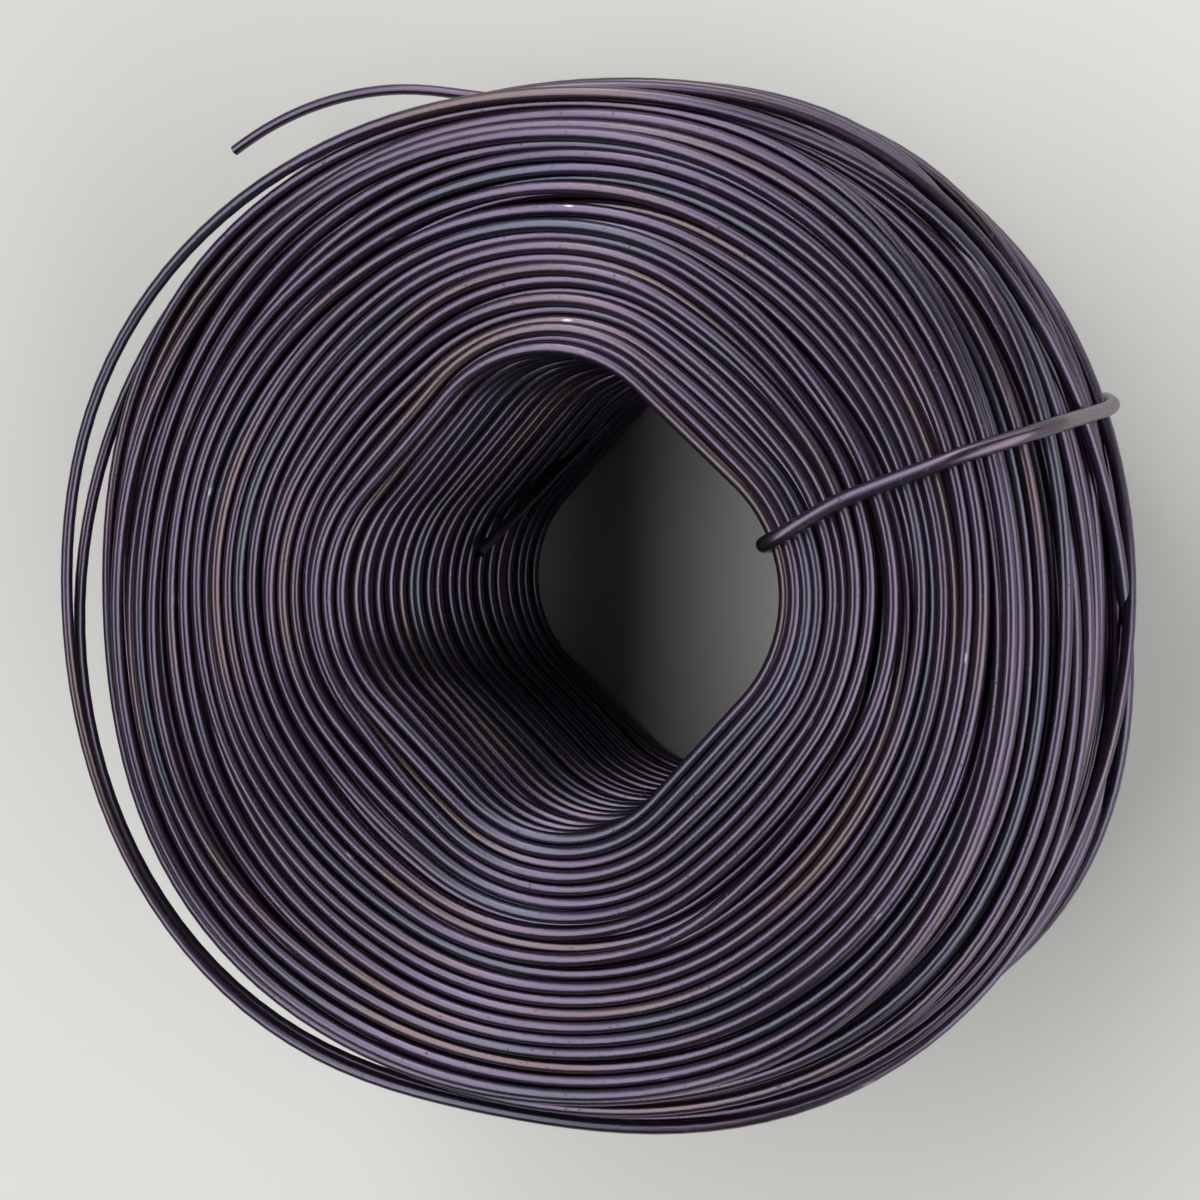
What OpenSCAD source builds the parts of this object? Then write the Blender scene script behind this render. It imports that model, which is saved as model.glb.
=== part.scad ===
// Small hand coil of black annealed tie wire, lying on one end with its bore upright.
// The wound pack is one solid whose surface shows the turns on both ends, the rim and the bore.

/* [Wire] */
// Diameter of the drawn wire
wire_d = 1.5; // [1.2:0.1:1.6]

/* [Pack] */
// Outside diameter at the middle of the rim
coil_od = 130; // [124:1:150]
// Width over the end turns
coil_width = 58; // [50:1:66]
// Radius, across the width, of the rim's crown
crown_r = 70; // [60:1:120]
// Radius where each end turns over into the rim
shoulder_r = 6; // [4:0.5:9]
// Distance between neighbouring turns, a little more than the wire
turn_pitch = 1.75; // [1.65:0.05:2]
// How far the outermost turns have slumped off the bore's axis
slump = 5; // [1:0.5:6]
// Bearing they have slumped towards
slump_bearing = 162; // [140:1:200]
// Rings of round turns, each slumped a step further than the one inside it
rings = 3; // [2:1:4]

/* [Bore] */
// Clear width between opposite flats, as left by the winding mandrel
bore_flats = 47.5; // [42:0.5:50]
// Radius of the bore's rounded corners
bore_corner_r = 16; // [14:0.5:20]
// Turns at each end that still follow the square of the mandrel
square_turns = 2; // [2:1:4]
// Distance between neighbouring turns on the bore wall
bore_pitch = 2.9; // [2.5:0.1:4]

/* [Loose ends] */
// Radius of the outer tail's bend
tail_r = 43; // [38:1:48]
// How far inside the rim turns that bend's centre lies
tail_set_in = 10.5; // [8:0.5:13]
// Bearing of that bend's centre round the axis
tail_bearing = 103; // [60:1:150]
// Angle the outer tail turns through, part of it inside the pack
tail_sweep = 90; // [75:1:105]
// Where on that bend the free end stops, short of the line through its centre
tail_stop = 23; // [10:1:35]
// Height of the outer tail above the lower end turns
tail_height = 13; // [10:0.5:30]
// How much tighter than the rim's edge the sprung outer turn curves, so that its ends run into the pack
sprung_tighter = 10; // [8:1:14]
// How far the sprung outer turn stands out past the rim's edge
sprung_out = 4; // [3:0.5:5]
// Angle the sprung outer turn goes through
sprung_sweep = 150; // [140:1:170]
// Depth of the sprung outer turn below the upper end turns
sprung_depth = 6; // [5:0.5:20]
// Bearing where the inner tail leaves the bore wall
inner_tail_bearing = 70; // [60:1:80]
// Height above the lower end turns where it leaves
inner_tail_height = 4.5; // [3:0.5:12]
// Angle it turns aside from the line out of the axis
inner_tail_turn = 120; // [110:1:130]
// Length of the inner tail, lying across the bore
inner_tail_length = 32; // [20:1:34]
// Climb of the inner tail from the level
inner_tail_climb = 40; // [30:1:50]

/* [Binding tie] */
// Diameter of the tie wire
tie_d = 1.5; // [1.2:0.1:2]
// Bearing of the tie round the axis
tie_bearing = -30; // [-50:1:-28]
// Gap between the tie and the turns it holds
tie_gap = 0.1; // [0.05:0.05:0.3]

/* [Hidden] */
$fn = 48;
wire_r = wire_d / 2;
tie_r = tie_d / 2;
// The coil lies on its tie, so its end turns start one tie wire above the floor
pack_low = tie_d + tie_gap;
pack_high = pack_low + coil_width;
low_z = pack_low + wire_r;
high_z = pack_high - wire_r;
mid_z = (low_z + high_z) / 2;
rim_r = coil_od / 2 - wire_r;
corner_at = bore_flats / 2 - bore_corner_r;

// Half the angle of the crown's arc, where the shoulder that runs into it leaves the flat end,
// and the sprung turn's radius
crown_half = asin(((high_z - low_z) / 2 - shoulder_r) / (crown_r - shoulder_r));
shoulder_in_r = rim_r - crown_r + (crown_r - shoulder_r) * cos(crown_half);
sprung_r = shoulder_in_r + shoulder_r - sprung_tighter;

// The first turn that is a plain circle stands clear of the last squarish one at its corners
slump_step = slump / rings;
first_u = bore_corner_r + wire_r;
last_u = first_u + (square_turns - 1) * turn_pitch;
corner_reach = corner_at * sqrt(2);
first_round_r = corner_reach + last_u + turn_pitch + slump_step;
square_out_u = first_round_r + slump_step - corner_at;

// Each ring's share of the way to the shoulder, and the turns on its two ends
ring_room = (shoulder_in_r - first_round_r) / rings;
ring_turns = max(1, floor((ring_room - slump_step) / turn_pitch));
ring_step = (ring_room - slump_step) / ring_turns;
function ring_first_r(k) = first_round_r + k * ring_room;

// Between its turns each ring's ends lie a little deeper than those of the ring outside it
end_step = wire_r / 4 / rings;
function end_set_in(k) = (rings - 1 - k) * end_step;

// Centres of the rim's turns, from the lower end to the upper end
shoulder_turns = floor(shoulder_r * (90 - crown_half) * PI / 180 / turn_pitch);
shoulder_step = (90 - crown_half) / shoulder_turns;
rim_turns = floor(crown_r * 2 * crown_half * PI / 180 / turn_pitch);
rim_step = 2 * crown_half / rim_turns;
low_shoulder = [for (i = [0:shoulder_turns - 1]) let (a = i * shoulder_step)
    [shoulder_in_r + shoulder_r * sin(a), low_z + shoulder_r * (1 - cos(a))]];
rim_row = [for (i = [0:rim_turns]) let (a = i * rim_step - crown_half)
    [rim_r - crown_r * (1 - cos(a)), mid_z + crown_r * sin(a)]];
high_shoulder = [for (i = [shoulder_turns - 1:-1:0])
    [low_shoulder[i][0], low_z + high_z - low_shoulder[i][1]]];
rim_centres = concat(low_shoulder, rim_row, high_shoulder);

// Heights of the turns on the bore wall
bore_turns = floor((high_z - low_z) / bore_pitch);
bore_step = (high_z - low_z) / bore_turns;

// Distance from the axis to the innermost turns' centre line, at an angle away from a corner
function bore_reach(away, inset) =
    corner_reach * cos(away) + sqrt(pow(first_u - inset, 2) - pow(corner_reach * sin(away), 2));

// Centre lines of the tie's four legs, and its bends round the innermost turns and the rim's shoulders
tie_clear = wire_r + tie_gap + tie_r;
tie_bend_r = tie_clear;
tie_turn_r = shoulder_r + tie_clear;
tie_in = bore_reach(tie_bearing + 45, tie_clear);
tie_off = slump_bearing - tie_bearing;
tie_out = slump * cos(tie_off) + sqrt(pow(rim_r + tie_clear, 2) - pow(slump * sin(tie_off), 2));
tie_low = tie_r;
tie_high = pack_high + tie_gap + tie_r;

wire_coil();
binding_tie();

// Section of the squarish inner turns, measured out from a corner's centre
module square_section() {
    translate([first_u, low_z + end_set_in(-1)])
        square([square_out_u - first_u, high_z - low_z - 2 * end_set_in(-1)]);
    for (i = [0:square_turns - 1], z = [low_z, high_z])
        translate([first_u + i * turn_pitch, z]) circle(r = wire_r);
    for (i = [1:bore_turns - 1]) translate([first_u, low_z + i * bore_step]) circle(r = wire_r);
}

// The squarish inner turns: that section carried round four corners and along four flats
module square_corners() {
    for (quarter = [0:90:270]) rotate([0, 0, quarter])
        translate([corner_at, corner_at, 0]) rotate_extrude(angle = 90) square_section();
}

module square_flats() {
    for (quarter = [0:90:270]) rotate([0, 0, quarter])
        translate([corner_at, corner_at, 0]) rotate([90, 0, 0])
            linear_extrude(2 * corner_at) square_section();
}

// Section of one ring of round turns; the outermost ring ends in the crowned rim
module ring_section(k) {
    in_r = ring_first_r(k) - wire_r;
    if (k < rings - 1)
        translate([in_r, low_z + end_set_in(k)])
            square([ring_room + 2 * slump_step + wire_r, high_z - low_z - 2 * end_set_in(k)]);
    else {
        polygon(concat([[in_r, low_z]], rim_centres, [[in_r, high_z]]));
        for (c = rim_centres) translate(c) circle(r = wire_r);
    }
    for (i = [0:ring_turns - 1], z = [low_z, high_z])
        translate([ring_first_r(k) + i * ring_step, z]) circle(r = wire_r);
}

// The round outer turns: rings of them, each turned about its own slumped centre
module round_rings() {
    for (k = [0:rings - 1]) rotate([0, 0, slump_bearing]) translate([(k + 1) * slump_step, 0, 0])
        rotate_extrude() ring_section(k);
}

// The outer end of the wire, sprung out from the rim
module outer_tail() {
    rotate([0, 0, tail_bearing]) translate([rim_r - tail_set_in, 0, pack_low + tail_height])
        rotate([0, 0, -tail_sweep - tail_stop]) rotate_extrude(angle = tail_sweep)
            translate([tail_r, 0]) circle(r = wire_r);
}

// An outer turn that has sprung clear of the rim on the slumped side
module sprung_turn() {
    sprung_at = slump + sprung_out + sprung_tighter;
    rotate([0, 0, slump_bearing]) translate([sprung_at, 0, pack_high - sprung_depth])
        rotate([0, 0, -sprung_sweep / 2]) rotate_extrude(angle = sprung_sweep)
            translate([sprung_r, 0]) circle(r = wire_r);
}

// The inner end of the wire, left lying across the bore
module inner_tail() {
    rotate([0, 0, inner_tail_bearing])
        translate([bore_reach(inner_tail_bearing - 45, wire_r / 2), 0, pack_low + inner_tail_height])
            rotate([0, 90 - inner_tail_climb, inner_tail_turn]) cylinder(r = wire_r, h = inner_tail_length);
}

module wire_coil() {
    color("DimGray") {
        square_corners();
        square_flats();
        round_rings();
        sprung_turn();
        outer_tail();
        inner_tail();
    }
}

// One quarter bend of the tie, centred in the tie's own plane
module tie_bend(x, z, bend_r, from) {
    translate([x, 0, z]) rotate([90, 0, 0]) rotate([0, 0, from])
        rotate_extrude(angle = 90) translate([bend_r, 0]) circle(r = tie_r);
}

// One closed loop of wire round the pack, from bore to rim
module binding_tie() {
    color("DarkGray") rotate([0, 0, tie_bearing]) {
        translate([tie_in, 0, tie_low + tie_bend_r])
            cylinder(r = tie_r, h = tie_high - tie_low - 2 * tie_bend_r);
        translate([tie_out, 0, tie_low + tie_turn_r])
            cylinder(r = tie_r, h = tie_high - tie_low - 2 * tie_turn_r);
        for (z = [tie_low, tie_high]) translate([tie_in + tie_bend_r, 0, z])
            rotate([0, 90, 0]) cylinder(r = tie_r, h = tie_out - tie_in - tie_bend_r - tie_turn_r);
        tie_bend(tie_in + tie_bend_r, tie_low + tie_bend_r, tie_bend_r, 180);
        tie_bend(tie_in + tie_bend_r, tie_high - tie_bend_r, tie_bend_r, 90);
        tie_bend(tie_out - tie_turn_r, tie_low + tie_turn_r, tie_turn_r, 270);
        tie_bend(tie_out - tie_turn_r, tie_high - tie_turn_r, tie_turn_r, 0);
    }
}
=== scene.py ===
"""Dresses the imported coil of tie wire: every turn of the wire, its two tails and the tie that holds it."""

import math

import bpy
import numpy as np
from mathutils import Matrix, Vector


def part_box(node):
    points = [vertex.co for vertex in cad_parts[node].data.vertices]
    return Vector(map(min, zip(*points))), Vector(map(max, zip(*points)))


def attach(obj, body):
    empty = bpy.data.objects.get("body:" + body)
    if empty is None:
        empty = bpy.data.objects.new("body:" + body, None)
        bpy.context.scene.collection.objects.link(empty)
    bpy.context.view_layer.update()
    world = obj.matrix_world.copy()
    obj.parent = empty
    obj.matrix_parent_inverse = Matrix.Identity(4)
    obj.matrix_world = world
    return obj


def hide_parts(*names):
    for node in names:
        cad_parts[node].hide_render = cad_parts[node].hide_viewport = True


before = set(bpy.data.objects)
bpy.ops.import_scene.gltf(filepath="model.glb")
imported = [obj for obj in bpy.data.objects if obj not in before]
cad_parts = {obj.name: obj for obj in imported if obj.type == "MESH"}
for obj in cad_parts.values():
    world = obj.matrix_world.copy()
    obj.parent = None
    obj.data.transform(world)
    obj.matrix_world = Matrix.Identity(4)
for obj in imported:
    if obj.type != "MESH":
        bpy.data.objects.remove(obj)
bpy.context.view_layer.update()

MM = 0.001
SEED = 16

# Sizes of the coil in millimetres; all but the crown and the tie are the solid's
pack_low, pack_high = (corner.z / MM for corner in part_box("wire_coil"))
coil_width = pack_high - pack_low
middle_z = (pack_low + pack_high) / 2
wire_d = 1.5
wire_r = wire_d / 2
tie_d = 1.75
bore_flats = 47.5
bore_corner_r = 16.0
rim_r = 64.25
crown_r = 55.0
shoulder_r = 6.0
half_full = coil_width / 2 - wire_r

# The rim's section: a shoulder at each end running into one crowned arc
crown_half = math.asin((half_full - shoulder_r) / (crown_r - shoulder_r))
shoulder_in_r = rim_r - crown_r + (crown_r - shoulder_r) * math.cos(crown_half)

# How the wire was laid on the mandrel: points to a turn, and how far one turn advances along the axis
stations = 120
most_turns = 800
first_turn_r = 26.5
traverse_pitch = 2.7
pitch_uneven = (0.85, 1.15)
# Over a pile the wire is led on faster, over a hollow slower, between these
pile_haste = 0.6
haste_limits = (0.5, 2.0)
# How far the wire is led past each end, and how far short of it turns may stop
end_dwell = 0.8
end_uneven = 1.2
end_knots = 2
# How far turns drift off their line, and the least share of that at the ends
drift_most = 0.5 * wire_d
drift_knots = 5
drift_at_ends = 0.2
# Winding counts as full this far short of the rim's section; turns this deep are out of sight
full_short = 0.35 * wire_d
buried_depth = 2.5 * wire_d
# The pack's surface is kept in rows of heights off the middle, which run a little past both ends
height_step = 0.1
edge_room = 1
heights = np.arange(-coil_width / 2 - edge_room, coil_width / 2 + edge_room, height_step)
# Stations over which stretched wire bridges bumps, and over which stiff wire rounds its bends
bridge = 3
wire_ease = 4.0
route_ease = 3.0

# Directions round the axis, in degrees; the photograph's right lies at this bearing on the solid
photo_right = -45.0
tie_bearing = -30.0
# How far, and towards which bearing, the outer turns have slumped off the bore's axis
slump = 5.0
slump_bearing = photo_right + 207.0
# How much the outer turns bulge over the bore's flats, where they are wound less tight
flat_bulge = 1.3
# How far, and towards which bearing, the upper outer turns have also worked loose: fully from this height
# off the middle, and more over the flats than at the corners
loosened = 6.0
loosened_bearing = photo_right + 182.0
loosened_height = 20
loosened_over_flats = 0.35

# The last turns, as (degrees round from the photograph's right, depth below the upper end)
last_turns = [
    (-640, 33), (-600, 38), (-540, 40), (-480, 42), (-440, 43), (-420, 42), (-390, 36), (-360, 26),
    (-330, 17), (-300, 10.5), (-262, 7), (-220, 6), (-180, 6), (-140, 7.5), (-120, 9), (-100, 10.8),
    (-80, 12.5), (-60, 14), (-30, 14.5), (0, 13), (30, 9.5), (50, 6), (65, 4), (82, 3), (100, 3),
    (120, 3.3), (140, 3.5), (160, 4), (180, 4.5), (200, 5), (220, 5.7), (240, 6.8), (260, 8.5),
    (280, 10.5), (300, 14.5), (315, 18), (330, 21), (360, 27.5), (390, 35), (415, 40), (436, 44)]
# Where they have sprung off the pack, as (degrees, distance from the axis)
sprung = [
    (-230, 61), (-220, 63.2), (-210, 65), (-195, 67), (-186, 68.6), (-177, 70), (-165, 70.8),
    (-150, 70.8), (-135, 69.9), (-120, 67.4), (-103, 60), (100, 55), (120, 60.6), (140, 65),
    (160, 69.1), (180, 70.1), (195, 70.7), (210, 70.6), (225, 69.5), (240, 67.4), (262, 60)]
# The outer tail beyond them, as (right, up) in the photograph at one depth
tail_depth = 45.0
tail_points = [
    (-22.0, 65.5), (-27.5, 67.7), (-33.7, 69.5), (-38.4, 70.5), (-44.6, 71.0), (-54.4, 70.2),
    (-63.8, 67.5), (-71.6, 63.2)]
tail_step = 2.0
tail_ease = 2.5
# Stations before the tail where its bend starts, and over which it comes in
tail_bend = 24
tail_bend_in = 12
# The inner tail, as (right, up, out) in the photograph, and the steps on each stretch of it
inner_tail = [(-10.0, 25.0, -53.5), (-13.0, 22.0, -51.0), (-24.9, 3.4, -31.0)]
inner_tail_steps = 12
inner_tail_ease = 2.0

# Degrees the tie lies off its bearing: in the bore, at the upper edge, at mid rim and under the rim
tie_leans = [-4.0, 0.8, 2.8, 5.8]
# Height off the middle where it reaches its lean under the rim, and how far short of the ends its points
# on the rim stop
tie_under_level = -20
tie_rim_end = 1.0
tie_rim_steps = 61
# Its bend at the bore, and a point on its run over the upper end: this far out from the bore, and this
# many radians back from the edge
tie_bend = 1.5
tie_run_in = 10.0
tie_run_turn = 0.012
# The step between its points, how many of them a bend is eased over, and how many overlap at the join
tie_step = 0.8
tie_ease = 2.0
tie_wrap = 8

# Sides of the wire's section, and how many shown turns make one piece; buried turns skip points
buried_sides = 5
buried_skip = 3
shown_sides = 10
last_sides = 12
tie_sides = 16
turns_a_piece = 75

# The camera as the photograph has it, in its millimetres; the lens is in millimetres, the clip in metres
lens_length = 54.0
camera_eye = (84.6, 8.0, 182.2)
camera_aim = (6.9, -0.5, 0.0)
camera_up = (0.019, 0.998, -0.055)
near_clip = 0.01
# Lamps, as (name, spot in the photograph's millimetres, width and height in metres, watts)
lamps = [
    ("key", (-1050, 900, 2475), 1.1, 7.4, 97.0),
    ("fill", (2325, -975, 1425), 2.2, 4.5, 96.0),
    ("top", (600, 2750, 1000), 4.2, 1.7, 38.0)]
lamp_aim = (0, 0, -20)
lamp_up = (0, 1, 0)
world_strength = 0.04
floor_size = 12.0


def bore_reach(bearing):
    """Distance from the axis to the centre line of the innermost turns, a rounded square."""
    flat = bore_flats / 2 + wire_r
    corner_r = bore_corner_r + wire_r
    centre = (flat - corner_r) * math.sqrt(2)
    away = (bearing + math.pi / 2) % (math.pi / 2) - math.pi / 4
    across = centre * np.sin(away)
    at_corner = centre * np.cos(away) + np.sqrt(np.maximum(corner_r ** 2 - across ** 2, 0))
    off_flat = math.pi / 4 - np.abs(away)
    at_flat = flat / np.cos(off_flat)
    return np.where(flat * np.tan(off_flat) < flat - corner_r, at_flat, at_corner)


def rim_section(level):
    """Distance from the axis to the outermost turns at a height off the middle, on the round mandrel."""
    level = np.minimum(np.abs(level), half_full)
    crown = rim_r - crown_r + np.sqrt(crown_r ** 2 - level ** 2)
    over = np.maximum(level - (half_full - shoulder_r), 0)
    shoulder = shoulder_in_r + np.sqrt(np.maximum(shoulder_r ** 2 - over ** 2, 0))
    return np.where(level > crown_r * math.sin(crown_half), shoulder, crown)


def settle(bearing, reach, level):
    """Moves turns from the round mandrel to the squared one, and lets the outer ones slump and work loose."""
    inside = bore_reach(bearing)
    over_flats = np.cos(4 * bearing)
    outside = rim_r + slump * np.cos(bearing - math.radians(slump_bearing)) + flat_bulge * over_flats
    outward = (reach - first_turn_r) / (rim_r - first_turn_r)
    upward = np.clip(level / loosened_height, 0, 1)
    aside = np.maximum(np.cos(bearing - math.radians(loosened_bearing)), 0)
    spread = loosened * outward ** 4 * upward ** 2 * aside ** 3 * (1 + loosened_over_flats * over_flats)
    return inside + outward * (outside - inside) + spread


def points_at(bearing, reach, level):
    """Points in millimetres from bearings, distances off the axis and heights off the middle."""
    bearing, reach, level = np.broadcast_arrays(bearing, reach, level)
    return np.stack([reach * np.cos(bearing), reach * np.sin(bearing), level + middle_z], axis=-1)


def photo_point(right, up, out):
    """A point given in millimetres to the photograph's right, up and out of the upper end's centre."""
    turn = Matrix.Rotation(math.radians(photo_right), 3, "Z")
    return (turn @ Vector((right, up, out)) + Vector((0, 0, pack_high))) * MM


def wander(rng, count, knots_a_turn):
    """A gentle drift off the line, smooth all along the wire, at most 1."""
    values = rng.uniform(-1, 1, count * knots_a_turn // stations + 2)
    knot = np.arange(count) * knots_a_turn / stations
    low = np.floor(knot).astype(int)
    blend = 0.5 - 0.5 * np.cos(np.pi * (knot - low))
    return values[low] * (1 - blend) + values[low + 1] * blend


def taut(line, reach):
    """The line a stretched wire takes over bumps: it rests on the high places and bridges the low ones."""
    ends = np.pad(line, 2 * reach, mode="edge")
    steps = range(2 * reach + 1)
    high = np.max([ends[k:len(ends) - 2 * reach + k] for k in steps], axis=0)
    return np.mean([high[k:len(high) - 2 * reach + k] for k in steps], axis=0)


def eased(line, spread):
    """Smooths rows of numbers along the wire with a bell of that spread, in steps."""
    reach = int(3 * spread)
    weight = np.exp(-0.5 * (np.arange(-reach, reach + 1) / spread) ** 2)
    ends = np.pad(line, [(reach, reach)] + [(0, 0)] * (line.ndim - 1), mode="edge")
    return sum(w * ends[k:k + len(line)] for k, w in enumerate(weight / weight.sum()))


def spaced(corners, step):
    """Points at an even step along straight stretches between corners."""
    spans = np.concatenate([[0], np.cumsum(np.linalg.norm(np.diff(corners, axis=0), axis=1))])
    steps = np.arange(0, spans[-1], step)
    return np.stack([np.interp(steps, spans, corners[:, k]) for k in range(3)], axis=-1)


def lay(rest, row, level):
    """Drops wire on the pack at these stations and heights, and raises the pack's surface by it.
    Gives the wire's distance off the axis."""
    index = (level + coil_width / 2 + edge_room) / height_step
    low = np.floor(index).astype(int)
    share = index - low
    line = taut(rest[row, low] * (1 - share) + rest[row, low + 1] * share, bridge)
    window = np.arange(-int(wire_d / height_step), int(wire_d / height_step) + 1)
    columns = np.clip(np.rint(index).astype(int)[:, None] + window, 0, rest.shape[1] - 1)
    gap = heights[columns] - level[:, None]
    over = line[:, None] + np.sqrt(np.maximum(wire_d ** 2 - gap ** 2, 0)) * (np.abs(gap) < wire_d)
    rest[row[:, None], columns] = np.maximum(rest[row[:, None], columns], over)
    return line


def wind():
    """Lays turn on turn by dropping each on those below it, on a round mandrel, from end to end and back.
    Gives rows of distance off the axis and height off the middle, which turns lie buried, and the surface."""
    rng = np.random.default_rng(SEED)
    angle = np.arange(stations) / stations
    rest = np.full((stations, len(heights)), first_turn_r)
    row = np.arange(stations)
    drift = wander(rng, most_turns * stations, drift_knots).reshape(most_turns, stations)
    short = end_uneven * np.abs(wander(rng, most_turns * stations, end_knots)).reshape(most_turns, stations)
    uneven = rng.uniform(*pitch_uneven, most_turns)
    reaches, levels = [], []
    phase, half = 0.0, half_full
    while half > 2 * wire_d and len(reaches) < most_turns:
        turn = len(reaches)
        inner = np.abs(heights) < half
        here = np.argmin(np.abs(heights - half * (1 - 4 * abs(phase % 1.0 - 0.5))))
        pile = rest[:, here].mean() - rest[:, inner].mean()
        haste = float(np.clip(1 + pile_haste * pile / wire_d, *haste_limits))
        advance = traverse_pitch / (4 * half) * haste * uneven[turn]
        travel = 1 - 4 * np.abs((phase + advance * angle) % 1.0 - 0.5)
        most = half - short[turn]
        level = np.clip(travel * (half + end_dwell), -most, most)
        room = np.clip((most - np.abs(level)) / wire_d, drift_at_ends, 1)
        level = np.clip(level + drift_most * room * drift[turn], -half, half)
        reaches.append(lay(rest, row, level))
        levels.append(level)
        phase += advance
        unfilled = np.abs(heights) <= half_full
        unfilled &= rest.mean(axis=0) < rim_section(heights) - full_short
        half = float(np.abs(heights[unfilled]).max()) if unfilled.any() else 0.0
    reaches, levels = np.array(reaches), np.array(levels)
    columns = np.rint((levels - heights[0]) / height_step).astype(int)
    cover = np.minimum(rest[row, columns] - reaches, reaches - first_turn_r)
    cover = np.minimum(cover, half_full - np.abs(levels))
    return reaches, levels, cover.min(axis=1) > buried_depth, rest


def last_run(surface, level):
    """Lays the last turns on the pack from the height where winding stopped.
    Gives degrees round from the photograph's right, distances off the axis and heights off the middle."""
    step = 360 // stations
    start = (-720 - photo_right, coil_width / 2 - level)
    degrees, depth = np.array([start] + last_turns).T
    fine = np.arange(degrees[0], degrees[-1], step)
    row = np.rint((fine + photo_right) / step).astype(int) % stations
    level = coil_width / 2 - eased(np.interp(fine, degrees, depth), route_ease)
    turns = [slice(k, k + stations) for k in range(0, len(fine), stations)]
    reach = [lay(surface, row[turn], level[turn]) for turn in turns]
    return fine, np.concatenate(reach), level


def surface_reach(surface, bearing, level):
    """Distance from the axis at which one more wire would lie on the wound pack, stretched over its bumps."""
    row = np.rint(bearing / (2 * math.pi) * stations).astype(int) % stations
    column = np.rint((level + coil_width / 2 + edge_room) / height_step).astype(int)
    return taut(surface[row, column], bridge)


def with_tail(run):
    """The last turns over the rim and the outer tail that springs from them, as one line of points."""
    corners = np.array([photo_point(right, up, -tail_depth) for right, up in tail_points]) / MM
    line = np.concatenate([run, spaced(corners, tail_step)])
    leaving = np.clip((np.arange(len(line)) - len(run) + tail_bend) / tail_bend_in, 0, 1)[:, None]
    return line + leaving * (eased(line, tail_ease) - line)


def inner_end():
    """The inner tail, lying across the bore."""
    corners = np.array([photo_point(*spot) for spot in inner_tail]) / MM
    stretches = [np.linspace(a, b, inner_tail_steps, endpoint=False) for a, b in zip(corners, corners[1:])]
    return eased(np.concatenate(stretches + [corners[-1:]]), inner_tail_ease)


def tie_loop(surface):
    """The tie drawn tight round the pack's section: bore, upper end, rim and lower end.
    It lies askew: further back in the bore, and further round down the rim."""
    back, edge, onward, under = np.radians(tie_bearing + np.array(tie_leans))
    lift = (wire_d + tie_d) / 2
    level = np.linspace(half_full - tie_rim_end, tie_rim_end - half_full, tie_rim_steps)
    lean = np.interp(level, [tie_under_level, 0, half_full], [under, onward, edge])
    bumps = settle(lean, surface_reach(surface, lean, level), level)
    tight = bumps.copy()
    for a in range(len(level)):
        for b in range(a + 1, len(level)):
            tight[a:b + 1] = np.maximum(tight[a:b + 1], np.linspace(bumps[a], bumps[b], b - a + 1))
    rim = points_at(lean, tight + lift - wire_d, level)
    inside = float(bore_reach(np.array([back]))[0]) - lift
    high, low = half_full + lift, tie_d / 2 - middle_z
    bore_level = np.array([low, low + tie_bend, high - tie_bend, high])
    bore = points_at(back, inside + np.array([tie_bend, 0, 0, tie_bend]), bore_level)
    upper_out = np.array([inside + tie_run_in, settle(edge, shoulder_in_r, high)])
    upper = points_at(np.array([edge - tie_run_turn, edge]), upper_out, high)
    lower = points_at(under, np.array([settle(under, shoulder_in_r, low)]), low)
    line = spaced(np.concatenate([bore, upper, rim, lower, bore[:1]]), tie_step)
    return eased(np.concatenate([line[-tie_wrap:], line, line[:tie_wrap]]), tie_ease)[tie_wrap:-tie_wrap]


def add_node(tree, kind, inputs=None, **settings):
    """Adds a node with its settings, and gives each named input its value or its link."""
    node = tree.nodes.new(kind)
    for name, value in settings.items():
        setattr(node, name, value)
    for name, value in (inputs or {}).items():
        if isinstance(value, bpy.types.NodeSocket):
            tree.links.new(value, node.inputs[name])
        else:
            node.inputs[name].default_value = value
    return node


def linear(hex_colour):
    """A colour written as sRGB hex, as the linear colour that shaders take."""
    channels = [int(hex_colour[k:k + 2], 16) / 255 for k in (1, 3, 5)]
    return [c / 12.92 if c <= 0.04045 else ((c + 0.055) / 1.055) ** 2.4 for c in channels] + [1.0]


def drawn_out(tree, section, along, stretch):
    """A place on the wire's skin for patterns that are drawn out along the wire."""
    run = add_node(tree, "ShaderNodeMath", {0: along, 1: stretch}, operation="MULTIPLY")
    lengthwise = add_node(tree, "ShaderNodeCombineXYZ", {"Z": run.outputs["Value"]})
    both = {0: section, 1: lengthwise.outputs["Vector"]}
    return add_node(tree, "ShaderNodeVectorMath", both, operation="ADD").outputs["Vector"]


def ranged(tree, value, low, high, to_low=0.0, to_high=1.0):
    """Takes a value from one range to another."""
    limits = {"Value": value, "From Min": low, "From Max": high, "To Min": to_low, "To Max": to_high}
    return add_node(tree, "ShaderNodeMapRange", limits).outputs["Result"]


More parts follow.
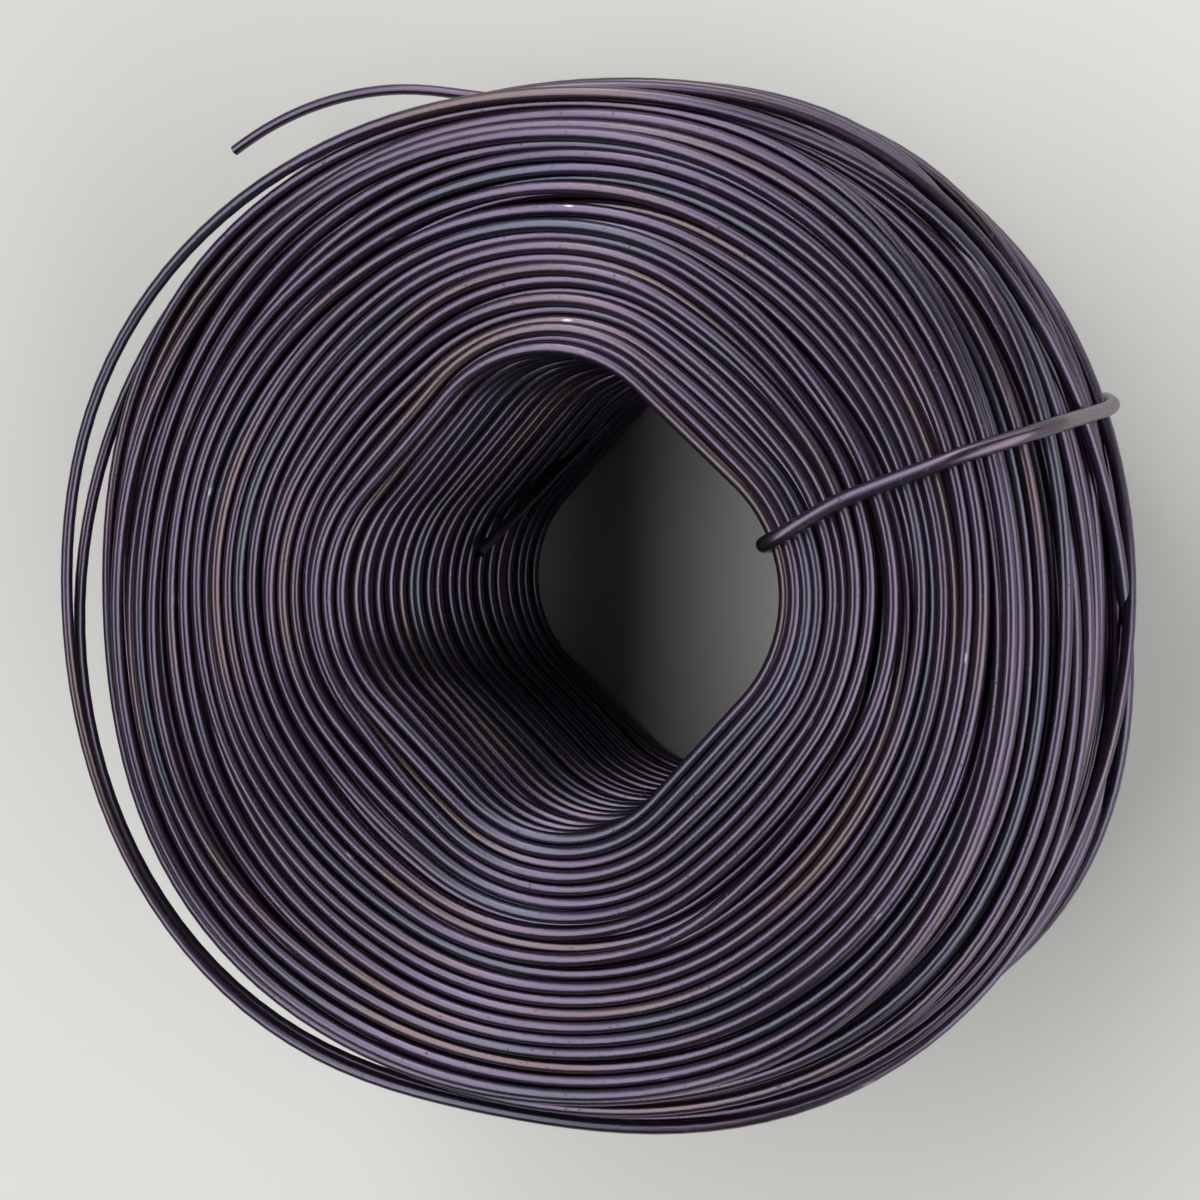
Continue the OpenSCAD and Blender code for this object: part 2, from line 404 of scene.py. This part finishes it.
def annealed_steel():
    """Black annealed steel wire. The oxide is a violet grey with a dull sheen that turns brownish or bluish
    in long stretches, so neighbouring turns differ. Fine die lines along the wire break up its thin
    highlight; specks of scale are matt, and a few rubbed spots glint."""
    material = bpy.data.materials.new("black_annealed_steel")
    material.use_nodes = True
    tree = material.node_tree
    shader = tree.nodes["Principled BSDF"]
    along = add_node(tree, "ShaderNodeAttribute", attribute_name="along").outputs["Fac"]
    section = add_node(tree, "ShaderNodeAttribute", attribute_name="section").outputs["Vector"]
    place_on = add_node(tree, "ShaderNodeTexCoord").outputs["Object"]
    # Stretches of tint, about 60 mm long
    stretch = add_node(tree, "ShaderNodeTexNoise", {"W": along, "Scale": 16.0, "Detail": 2.0},
                       noise_dimensions="1D")
    tint = add_node(tree, "ShaderNodeValToRGB", {"Fac": stretch.outputs["Fac"]})
    for at, colour in ((0.30, "#545462"), (0.45, "#5a5163"), (0.55, "#605568"), (0.70, "#65585d")):
        stop = tint.color_ramp.elements.new(at)
        stop.color = linear(colour)
    tint.color_ramp.elements.remove(tint.color_ramp.elements[0])
    tint.color_ramp.elements.remove(tint.color_ramp.elements[-1])
    # Die lines, 0.2 mm apart round the wire and some 10 mm long
    lines_at = drawn_out(tree, section, along, 0.02)
    lines = add_node(tree, "ShaderNodeTexNoise", {"Vector": lines_at, "Scale": 5000.0, "Detail": 2.0})
    rough = ranged(tree, lines.outputs["Fac"], 0.3, 0.7, 0.25, 0.37)
    shade = ranged(tree, lines.outputs["Fac"], 0.3, 0.7, 0.85, 1.1)
    streaked = add_node(tree, "ShaderNodeVectorMath", {0: tint.outputs["Color"], "Scale": shade},
                        operation="SCALE")
    relief = add_node(tree, "ShaderNodeBump",
                      {"Height": lines.outputs["Fac"], "Strength": 0.07, "Distance": 0.00005})
    # Specks of scale, about 0.4 mm, that are duller than the rest
    specks = add_node(tree, "ShaderNodeTexNoise", {"Vector": place_on, "Scale": 1800.0, "Detail": 1.0})
    scale = ranged(tree, specks.outputs["Fac"], 0.68, 0.76)
    dull = add_node(tree, "ShaderNodeMath", {0: scale, 1: 0.25, 2: rough}, operation="MULTIPLY_ADD")
    # Rubbed spots, some 3 mm long, where bright steel shows through the oxide
    rub_at = drawn_out(tree, section, along, 0.15)
    rubbed = add_node(tree, "ShaderNodeTexNoise", {"Vector": rub_at, "Scale": 1500.0, "Detail": 0.0})
    bare = ranged(tree, rubbed.outputs["Fac"], 0.82, 0.86)
    colour = add_node(tree, "ShaderNodeMixRGB", {"Fac": bare, "Color1": streaked.outputs["Vector"],
                                                 "Color2": linear("#a8a6aa")})
    tree.links.new(colour.outputs["Color"], shader.inputs["Base Color"])
    tree.links.new(dull.outputs["Value"], shader.inputs["Roughness"])
    tree.links.new(relief.outputs["Normal"], shader.inputs["Normal"])
    shader.inputs["Metallic"].default_value = 0.95
    return material


def wire_tree(material):
    """Draws round wire along the edges of a line mesh."""
    tree = bpy.data.node_groups.new("wire_along_line", "GeometryNodeTree")
    tree.interface.new_socket("Line", in_out="INPUT", socket_type="NodeSocketGeometry")
    tree.interface.new_socket("Wire Radius", in_out="INPUT", socket_type="NodeSocketFloat")
    tree.interface.new_socket("Sides", in_out="INPUT", socket_type="NodeSocketInt")
    tree.interface.new_socket("Wire", in_out="OUTPUT", socket_type="NodeSocketGeometry")
    given = add_node(tree, "NodeGroupInput")
    curve = add_node(tree, "GeometryNodeMeshToCurve", {"Mesh": given.outputs["Line"]})
    length = add_node(tree, "GeometryNodeSplineParameter").outputs["Length"]
    along = add_node(tree, "GeometryNodeStoreNamedAttribute",
                     {"Geometry": curve.outputs["Curve"], "Name": "along", "Value": length})
    circle = add_node(tree, "GeometryNodeCurvePrimitiveCircle",
                      {"Radius": given.outputs["Wire Radius"], "Resolution": given.outputs["Sides"]})
    spot = add_node(tree, "GeometryNodeInputPosition").outputs["Position"]
    section = add_node(tree, "GeometryNodeStoreNamedAttribute",
                       {"Geometry": circle.outputs["Curve"], "Name": "section"}, data_type="FLOAT_VECTOR")
    tree.links.new(spot, section.inputs["Value"])
    drawn = add_node(tree, "GeometryNodeCurveToMesh",
                     {"Curve": along.outputs["Geometry"], "Fill Caps": True,
                      "Profile Curve": section.outputs["Geometry"]})
    smooth = add_node(tree, "GeometryNodeSetShadeSmooth", {"Geometry": drawn.outputs["Mesh"]})
    real = add_node(tree, "GeometryNodeRealizeInstances", {"Geometry": smooth.outputs["Geometry"]})
    steel = add_node(tree, "GeometryNodeSetMaterial",
                     {"Geometry": real.outputs["Geometry"], "Material": material})
    add_node(tree, "NodeGroupOutput", {"Wire": steel.outputs["Geometry"]})
    return tree


def draw_wire(name, lines, sides, node, thick=wire_d, closed=False):
    """Makes one piece of wire along lists of points in millimetres, standing for a CAD node."""
    edges, start = [], 0
    for line in lines:
        steps = np.arange(start, start + len(line))
        edges.append(np.stack([steps, np.roll(steps, -1)], axis=-1)[:len(line) - (not closed)])
        start += len(line)
    route = bpy.data.meshes.new(name + "_route")
    route.from_pydata((np.concatenate(lines) * MM).tolist(), np.concatenate(edges).tolist(), [])
    piece = bpy.data.objects.new(name, route)
    bpy.context.collection.objects.link(piece)
    modifier = piece.modifiers.new("wire", "NODES")
    modifier.node_group = drawing
    for item in drawing.interface.items_tree:
        if item.name == "Wire Radius":
            modifier[item.identifier] = thick / 2 * MM
        if item.name == "Sides":
            modifier[item.identifier] = sides
    solid = bpy.data.meshes.new_from_object(piece.evaluated_get(bpy.context.evaluated_depsgraph_get()))
    piece.modifiers.remove(modifier)
    piece.data = solid
    bpy.data.meshes.remove(route)
    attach(piece, "root")
    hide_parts(node)


def draw_pack(pack, buried):
    """Makes the wound pack: buried turns as one coarse piece, the others as full pieces of equal length."""
    shown_lines, hidden_lines = [], []
    starts = [0] + [k for k in range(1, len(buried)) if buried[k] != buried[k - 1]] + [len(buried)]
    for first, after in zip(starts, starts[1:]):
        line = pack[first * stations:after * stations + 1]
        if buried[first]:
            hidden_lines.append(np.concatenate([line[:-1:buried_skip], line[-1:]]))
        else:
            shown_lines.append(line)
    draw_wire("buried_turns", hidden_lines, buried_sides, "wire_coil")
    budget = turns_a_piece * stations
    group, used, number = [], 0, 1
    for line in shown_lines:
        while len(line) > 1:
            take = line[:budget - used + 1]
            group.append(take)
            used += len(take) - 1
            line = line[len(take) - 1:]
            if used >= budget:
                draw_wire("winding_%d" % number, group, shown_sides, "wire_coil")
                group, used, number = [], 0, number + 1
    if group:
        draw_wire("winding_%d" % number, group, shown_sides, "wire_coil")


def place(name, data, eye, aim, up):
    """Adds a camera or a lamp at a point of the photograph, facing another, with its top to a direction."""
    thing = bpy.data.objects.new(name, data)
    bpy.context.collection.objects.link(thing)
    back = (photo_point(*eye) - photo_point(*aim)).normalized()
    right = (photo_point(*up) - photo_point(0, 0, 0)).cross(back).normalized()
    thing.matrix_world = Matrix((right, back.cross(right), back)).transposed().to_4x4()
    thing.location = photo_point(*eye)
    return thing


def set_camera():
    """Looks at the coil as the photograph does."""
    lens = bpy.data.cameras.new("camera")
    lens.lens = lens_length
    lens.clip_start = near_clip
    bpy.context.scene.camera = place("camera", lens, camera_eye, camera_aim, camera_up)


def set_floor():
    """A matt pale floor that shows the coil's shadow and its edges plainly."""
    bpy.ops.mesh.primitive_plane_add(size=floor_size)
    floor = bpy.context.object
    floor.name = "floor"
    paint = bpy.data.materials.new("pale_floor")
    paint.use_nodes = True
    paint.node_tree.nodes["Principled BSDF"].inputs["Base Color"].default_value = linear("#dadad6")
    paint.node_tree.nodes["Principled BSDF"].inputs["Roughness"].default_value = 0.9
    floor.data.materials.append(paint)


def set_light():
    """Broad soft lamps at a plain level, and a faint even light from all round."""
    world = bpy.data.worlds.new("studio")
    world.use_nodes = True
    world.node_tree.nodes["Background"].inputs["Color"].default_value = linear("#ffffff")
    world.node_tree.nodes["Background"].inputs["Strength"].default_value = world_strength
    bpy.context.scene.world = world
    for name, spot, wide, tall, power in lamps:
        lamp = bpy.data.lights.new(name, "AREA")
        lamp.shape = "RECTANGLE"
        lamp.size = wide
        lamp.size_y = tall
        lamp.energy = power
        place(name, lamp, spot, lamp_aim, lamp_up)


# The whole wire from the bore out, wound and then settled
reaches, levels, buried, surface = wind()
fine, last_reach, last_level = last_run(surface, levels[-1, -1])
wound = reaches.size
bearings = np.arange(wound + len(fine)) * 2 * math.pi / stations
reach_line = eased(np.concatenate([reaches.ravel(), last_reach]), wire_ease)
level_line = eased(np.concatenate([levels.ravel(), last_level]), wire_ease)
reach_line = settle(bearings, reach_line, level_line)
free = np.interp(fine, *np.array(sprung).T, left=0, right=0)
reach_line[wound:] += eased(np.maximum(free - reach_line[wound:], 0), route_ease)
wire = points_at(bearings, reach_line, level_line)

drawing = wire_tree(annealed_steel())
draw_pack(wire[:wound + 1], buried)
draw_wire("last_turns", [with_tail(wire[wound:]), inner_end()], last_sides, "wire_coil")
draw_wire("tie", [tie_loop(surface)], tie_sides, "binding_tie", thick=tie_d, closed=True)

set_camera()
set_floor()
set_light()
bpy.context.scene.view_settings.view_transform = "Standard"
